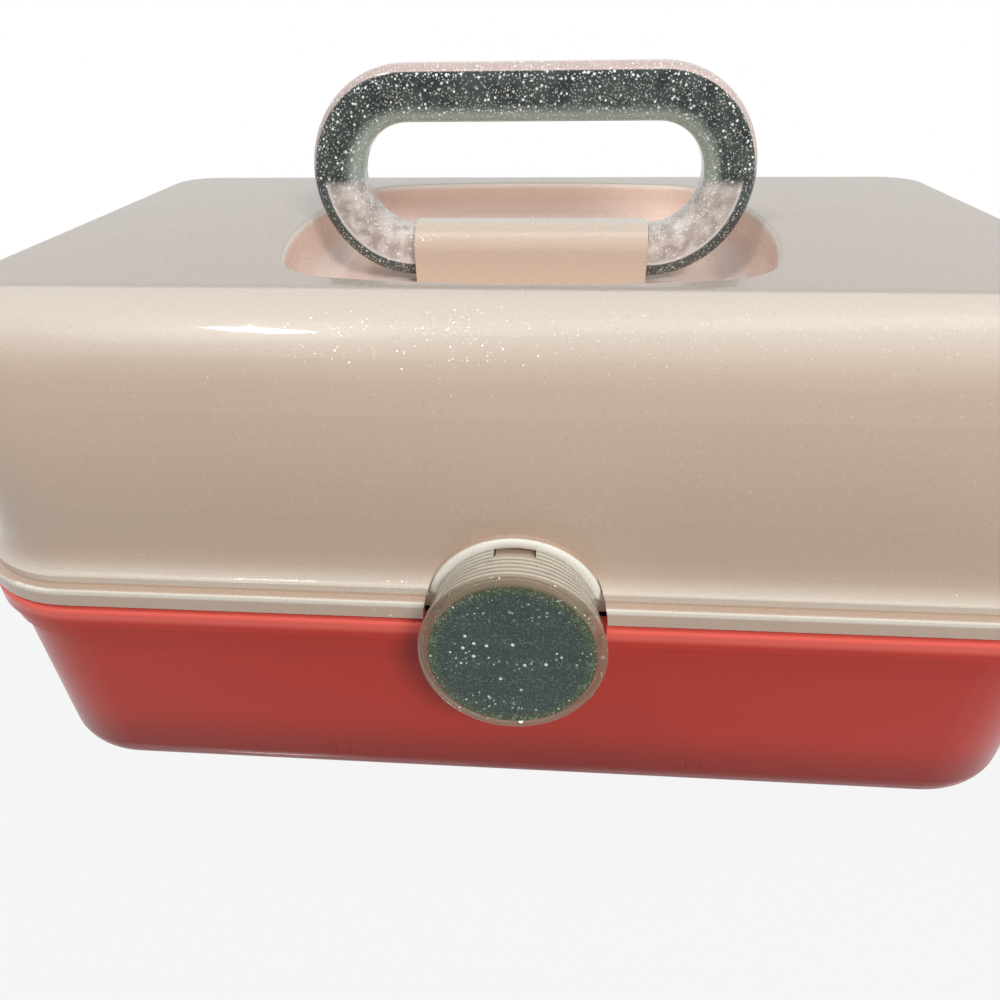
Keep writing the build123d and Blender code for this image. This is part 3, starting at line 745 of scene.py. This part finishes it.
class Finishes:
    """Every finish of the case, made once."""

    lid_layers = (
        # Painted highlight: a bright line along the top of the lid's rim band.
        PaintedBand((1.0, 0.95, 0.84), 0.0748, 0.0758, 0.9, end=0.0768),
        # Painted light: the crown is painted paler and whiter where the overhead light falls.
        PaintedBand((0.85, 0.775, 0.68), 0.130, 0.1475, 0.85),
        # Painted highlight: a pale band in the cove above the rim, strongest at its foot.
        PaintedBand((0.76, 0.71, 0.62), 0.0846, 0.0786, 0.75, end=0.0777),
        # Painted shade and sheen: the flat top is painted greyer and cooler than the walls.
        PaintedBand((0.53, 0.455, 0.40), 0.1486, 0.1489),
        Recess((1.0, 0.78, 0.68), half_x=0.0742, half_y=0.0677, rim_height=0.1486, low_height=0.1284),
    )
    sleeve_layers = (
        # Painted light: the sleeve's upper part is painted paler, where it faces the light.
        PaintedBand((0.86, 0.78, 0.68), 0.1440, 0.1500, 0.6, end=0.1560),
        # Painted shade: the sleeve is painted darker towards the bottom, down in the recess.
        PaintedBand((0.304, 0.248, 0.204), 0.1500, 0.1400, 0.22),
    )
    coral_layers = (
        # Painted highlight: the base rim's upper edge is painted bright coral.
        PaintedBand((1.0, 0.16, 0.125), 0.0652, 0.0676, end=0.0700),
        # Painted shade and dark reflection: the base is painted darker towards its foot.
        PaintedBand((0.248, 0.0176, 0.0112), 0.030, 0.008, 0.75),
    )

    def __init__(self) -> None:
        """Makes the materials."""
        self.lid = PearlPlastic("pearl_lid", (0.60, 0.455, 0.355), 0.40, 0.4, 0.06, 0.75,
                                self.lid_layers).material()
        self.pearl = PearlPlastic("pearl_trim", (0.62, 0.50, 0.43), 0.34, 0.5, sparkle=0.4).material()
        # Painted highlight: the arch bead is painted near white, for its lit upper face.
        self.arch = PearlPlastic("pearl_arch_painted_highlight", (1.0, 0.97, 0.88), 0.32, 0.4, 0.06, sparkle=0.4).material()
        self.sleeve = PearlPlastic("peach_sleeve", (0.76, 0.62, 0.51), 0.34, 0.3, layers=self.sleeve_layers,
                                   sparkle=0.5).material()
        self.coral = Finish("coral_base", (0.62, 0.044, 0.028), 0.34, 0.3, 0.03, 0.12,
                            self.coral_layers).material()
        self.handle = GlitterBar("glitter_resin", (0.010, 0.018, 0.014), 0.16, 0.5, 0.03, 0.2).material()
        self.disc = GlitterDisc("glitter_disc", (0.032, 0.056, 0.048), 0.24, 0.2, 0.05, 0.2).material()
        self.cup = RidgedCup("clear_cup", (1.0, 0.94, 0.80), 0.08, 0.8, 0.03, body=0.50, edge_body=0.5,
                             glitter=1.0).material()
        self.ridge = ClearPlastic("ridge_plastic", (0.78, 0.68, 0.54), 0.18, 0.6, 0.05, body=0.55,
                                  glitter=0.5).material()
        self.tray = ClearPlastic("tray_plastic", (0.86, 0.60, 0.54), 0.22, 0.3, body=0.72).material()
        self.steel = BrightMetal("drawn_steel", (0.58, 0.58, 0.57), 0.28).material()
        self.silver = BrightMetal("silvered_glass", (0.86, 0.88, 0.88), 0.02, grain=0.02).material()


# ---------------------------------------------------------------- pieces


def dress(material: bpy.types.Material, *nodes: str) -> None:
    """Gives CAD nodes a finish.

    Args:
        material: The finish.
        nodes: The nodes' names.
    """
    for name in nodes:
        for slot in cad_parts[name].material_slots:
            slot.material = material


def piece(name: str, mesh: bmesh.types.BMesh, material: bpy.types.Material,
          smooth: bool = True) -> bpy.types.Object:
    """Turns a finished bmesh into an object of the scene.

    Args:
        name: The object's name.
        mesh: The bmesh, which is used up.
        material: Its finish.
        smooth: Whether its faces are shaded smoothly.

    Returns:
        The new object.
    """
    bmesh.ops.recalc_face_normals(mesh, faces=mesh.faces)
    data = bpy.data.meshes.new(name)
    mesh.to_mesh(data)
    mesh.free()
    for polygon in data.polygons:
        polygon.use_smooth = smooth
    data.materials.append(material)
    made = bpy.data.objects.new(name, data)
    bpy.context.scene.collection.objects.link(made)
    return made


@dataclass
class BaseBody:
    """The coral lower half, with the pins and dividers that stay in it."""

    nodes: tuple[str, ...] = ("base_shell",)
    pins: tuple[str, ...] = ("hinge_pin_left", "hinge_pin_right",
                             "arm_base_pin_left", "arm_base_pin_right")
    dividers: tuple[str, ...] = ("base_divider_long", "base_divider_left", "base_divider_right")

    def build(self, finishes: Finishes) -> None:
        """Dresses the base."""
        dress(finishes.coral, *self.nodes)
        dress(finishes.steel, *self.pins)
        dress(finishes.tray, *self.dividers)
        log.info("base dressed")


@dataclass
class Lid:
    """The pearl upper half, its mirror, and the sleeve that carries the handle."""

    mirror_nodes: tuple[str, ...] = ("mirror_glass",)
    metal: tuple[str, ...] = ("handle_screws", "mirror_screws", "latch_pin", "lid_tray_pin_left",
                              "lid_tray_pin_right")

    def build(self, finishes: Finishes) -> None:
        """Dresses the lid."""
        dress(finishes.lid, "lid_shell")
        dress(finishes.pearl, "mirror_frame")
        dress(finishes.silver, *self.mirror_nodes)
        dress(finishes.sleeve, "handle_sleeve")
        dress(finishes.steel, *self.metal)
        log.info("lid dressed")


@dataclass
class CarryHandle:
    """The clear glitter handle."""

    node: str = "handle"

    def build(self, finishes: Finishes) -> None:
        """Dresses the handle."""
        dress(finishes.handle, self.node)
        log.info("handle dressed")


@dataclass
class FrontLatch:
    """The round latch: a clear cup, a glitter disc and the ridged barrel that shows through the cup."""

    body: str = "latch"
    centre_height: float = 0.071
    front: float = -0.1146
    ridge_radii: tuple[float, ...] = (0.0202, 0.0196, 0.0200, 0.0194, 0.0198, 0.0192, 0.0195)
    ridge_pitch: float = 0.00105
    barrel_wall: float = 0.0012
    bead_radius: float = 0.0224
    bead_half: float = 0.0014
    bead_flat: float = 0.6
    bead_sides: int = 16
    bead_turn: float = 152.0
    bead_place: float = -0.1011
    segments: int = 96

    def barrel(self, finishes: Finishes) -> bpy.types.Object:
        """A ridged ring behind the disc, turned about the latch's own axis.

        Args:
            finishes: The case's finishes.

        Returns:
            The ring, riding on the latch.
        """
        profile = bmesh.new()
        steps = list(enumerate(self.ridge_radii))
        inner = min(self.ridge_radii) - self.barrel_wall
        steps += [(i, inner) for i in (len(self.ridge_radii) - 1, 0)]
        rim = [profile.verts.new((0.0, self.front + i * self.ridge_pitch, self.centre_height + radius))
               for i, radius in steps]
        edges = [profile.edges.new(pair) for pair in zip(rim, rim[1:] + rim[:1])]
        bmesh.ops.spin(profile, geom=rim + edges, cent=(0.0, 0.0, self.centre_height), axis=(0.0, 1.0, 0.0),
                       angle=math.tau, steps=self.segments, use_merge=True)
        ring = piece("latch_ridges", profile, finishes.ridge)
        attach(ring, self.body)
        return ring

    def bead(self, finishes: Finishes) -> bpy.types.Object:
        """The rounded bead on the lid's arch over the latch, with closed ends.

        Args:
            finishes: The case's finishes.

        Returns:
            The bead, riding on the lid.
        """
        start = (Matrix.Rotation(math.radians(-self.bead_turn / 2), 4, "Y")
                 @ Matrix.Translation((0.0, 0.0, self.bead_radius))
                 @ Matrix.Rotation(math.radians(90.0), 4, "Y")
                 @ Matrix.Diagonal((1.0, self.bead_flat, 1.0, 1.0)))
        profile = bmesh.new()
        bmesh.ops.create_circle(profile, cap_ends=True, segments=self.bead_sides, radius=self.bead_half,
                                matrix=start)
        bmesh.ops.spin(profile, geom=profile.verts[:] + profile.edges[:] + profile.faces[:],
                       cent=(0.0, 0.0, 0.0), axis=(0.0, 1.0, 0.0), angle=math.radians(self.bead_turn),
                       steps=self.segments // 2)
        bmesh.ops.translate(profile, vec=(0.0, self.bead_place, self.centre_height), verts=profile.verts)
        # The bead's near-white finish is a painted highlight.
        rim = piece("latch_arch_bead", profile, finishes.arch)
        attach(rim, "lid")
        return rim

    def build(self, finishes: Finishes) -> None:
        """Dresses the latch, adds its ridged barrel and the bead over it."""
        dress(finishes.cup, "latch_cup")
        dress(finishes.disc, "latch_disc")
        added = (self.barrel(finishes), self.bead(finishes))
        log.info("latch dressed, with %s", ", ".join(made.name for made in added))


@dataclass
class RisingTray:
    """The inner tray, its dividers, its side arms and their pins."""

    tray_nodes: tuple[str, ...] = ("tray", "tray_divider_left", "tray_divider_right")
    arms: tuple[str, ...] = ("tray_arm_left", "tray_arm_right")
    pins: tuple[str, ...] = ("arm_tray_pin_left", "arm_tray_pin_right")

    def build(self, finishes: Finishes) -> None:
        """Dresses the tray and its links."""
        dress(finishes.tray, *self.tray_nodes)
        dress(finishes.pearl, *self.arms)
        dress(finishes.steel, *self.pins)
        log.info("tray dressed")


# ---------------------------------------------------------------- studio


@dataclass
class Lamp:
    """One soft area lamp, aimed at a point of the case."""

    name: str
    place: Place
    aim: Place
    size: tuple[float, float]
    power: float
    color: Color = (1.0, 1.0, 1.0)
    shape: LampShape = LampShape.PANEL
    in_gloss: bool = True
    turn: float = 0.0

    def build(self) -> None:
        """Hangs the lamp."""
        light = bpy.data.lights.new(self.name, "AREA")
        light.shape = self.shape.value
        light.size, light.size_y = self.size
        light.energy = self.power
        light.color = self.color
        lamp = bpy.data.objects.new(self.name, light)
        lamp.location = self.place
        lamp.visible_glossy = self.in_gloss
        aimed = (Vector(self.aim) - Vector(self.place)).to_track_quat("-Z", "Y").to_matrix().to_4x4()
        lamp.rotation_euler = (aimed @ Matrix.Rotation(math.radians(self.turn), 4, "Z")).to_euler()
        bpy.context.scene.collection.objects.link(lamp)


@dataclass
class Studio:
    """A pale floor, an even pale room and soft lamps."""

    room_level: float = 0.15
    white_share: float = 0.90
    floor_half: float = 6.0
    floor_color: Color = (0.27, 0.27, 0.27)
    floor_polish: float = 0.25
    floor_gloss: float = 0.05
    shadow_reach: tuple[float, float] = (0.25, 0.8)
    lamps: tuple[Lamp, ...] = field(default_factory=lambda: (
        Lamp("lamp_spot", place=(-0.502, -0.433, 1.203), aim=(-0.063, -0.084, 0.143), size=(0.19, 0.08),
             power=2.0, color=(1.0, 0.98, 0.92), shape=LampShape.OVAL, turn=24.0),
        Lamp("lamp_main", place=(0.55, -1.05, 0.95), aim=(0.0, -0.05, 0.08), size=(0.42, 0.30),
             power=10.5, color=(1.0, 0.985, 0.96), in_gloss=False),
        Lamp("lamp_strip", place=(0.10, -0.34, 1.50), aim=(0.0, -0.05, 0.08), size=(2.6, 0.35),
             power=5.5, color=(1.0, 0.985, 0.96)),
    ))

    def shown(self, graph: Graph) -> Signal:
        """1 for what the camera sees straight, in gloss or through clear plastic."""
        straight = graph.node("ShaderNodeLightPath", {}, {}, "Is Camera Ray")
        rays = straight.socket.node.outputs
        through = Signal(graph, rays["Is Transmission Ray"])
        return straight.most(Signal(graph, rays["Is Glossy Ray"])).most(through)

    def floor(self) -> None:
        """A wide pale floor that keeps the case's shadow."""
        mesh = bmesh.new()
        bmesh.ops.create_grid(mesh, x_segments=4, y_segments=4, size=self.floor_half)
        graph = Graph("pale_floor")
        matt = graph.node("ShaderNodeBsdfDiffuse", {}, {"Color": self.floor_color})
        bright = graph.node("ShaderNodeEmission", {}, {"Color": (1.0, 1.0, 1.0), "Strength": 1.0})
        away = (graph.x * graph.x + graph.y * graph.y).root().rise(*self.shadow_reach)
        share = self.shown(graph) * (self.white_share + (1.0 - self.white_share) * away)
        mixed = graph.node("ShaderNodeMixShader", {}, {0: share, 1: matt, 2: bright})
        polish = graph.node("ShaderNodeBsdfGlossy", {}, {"Color": (1.0, 1.0, 1.0),
                                                         "Roughness": self.floor_gloss})
        in_gloss = graph.node("ShaderNodeLightPath", {}, {}, "Is Glossy Ray")
        mixed = graph.node("ShaderNodeMixShader", {}, {0: in_gloss * self.floor_polish, 1: mixed, 2: polish})
        output = graph.tree.nodes.new("ShaderNodeOutputMaterial")
        graph.tree.links.new(mixed.socket, output.inputs["Surface"])
        piece("studio_floor", mesh, graph.material, smooth=False)

    def room(self) -> None:
        """An even pale world, white where it is seen."""
        world = bpy.data.worlds.new("pale_room")
        world.use_nodes = True
        bpy.context.scene.world = world
        tree = world.node_tree
        tree.nodes.clear()
        output = tree.nodes.new("ShaderNodeOutputWorld")
        mixed = tree.nodes.new("ShaderNodeMixShader")
        path = tree.nodes.new("ShaderNodeLightPath")
        seen = tree.nodes.new("ShaderNodeMath")
        seen.operation = "MAXIMUM"
        for index, level in ((1, self.room_level), (2, 1.0)):
            sky = tree.nodes.new("ShaderNodeBackground")
            sky.inputs["Color"].default_value = (1.0, 1.0, 1.0, 1.0)
            sky.inputs["Strength"].default_value = level
            tree.links.new(sky.outputs[0], mixed.inputs[index])
        tree.links.new(path.outputs["Is Camera Ray"], seen.inputs[0])
        tree.links.new(path.outputs["Is Glossy Ray"], seen.inputs[1])
        tree.links.new(seen.outputs[0], mixed.inputs[0])
        tree.links.new(mixed.outputs[0], output.inputs["Surface"])

    def build(self) -> None:
        """Sets the stage."""
        self.floor()
        self.room()
        for lamp in self.lamps:
            lamp.build()
        bpy.context.scene.view_settings.view_transform = "Standard"
        log.info("studio set with %d lamps", len(self.lamps))


@dataclass
class Viewpoint:
    """The photograph's camera, solved from the case's own edges; angles in degrees, focal in frame widths."""

    place: Place = (0.00828, -0.25397, 0.20458)
    pitch: float = 32.68
    yaw: float = 4.48
    roll: float = 0.90
    focal: float = 0.7509
    nearest: float = 0.005
    sensor_width: float = 36.0

    def build(self) -> None:
        """Sets up the camera."""
        data = bpy.data.cameras.new("viewpoint")
        data.sensor_width = self.sensor_width
        data.lens = self.sensor_width * self.focal
        data.clip_start = self.nearest
        camera = bpy.data.objects.new("viewpoint", data)
        turn = (Matrix.Rotation(math.radians(self.yaw), 4, "Z")
                @ Matrix.Rotation(math.radians(90.0 - self.pitch), 4, "X")
                @ Matrix.Rotation(math.radians(-self.roll), 4, "Z"))
        camera.matrix_world = Matrix.Translation(self.place) @ turn
        bpy.context.scene.collection.objects.link(camera)
        bpy.context.scene.camera = camera


def main() -> None:
    """Builds the looks in order."""
    Viewpoint().build()
    finishes = Finishes()
    for part in (BaseBody(), Lid(), CarryHandle(), FrontLatch(), RisingTray()):
        part.build(finishes)
    Studio().build()
    log.info("scene done")


if __name__ == "__main__":
    main()
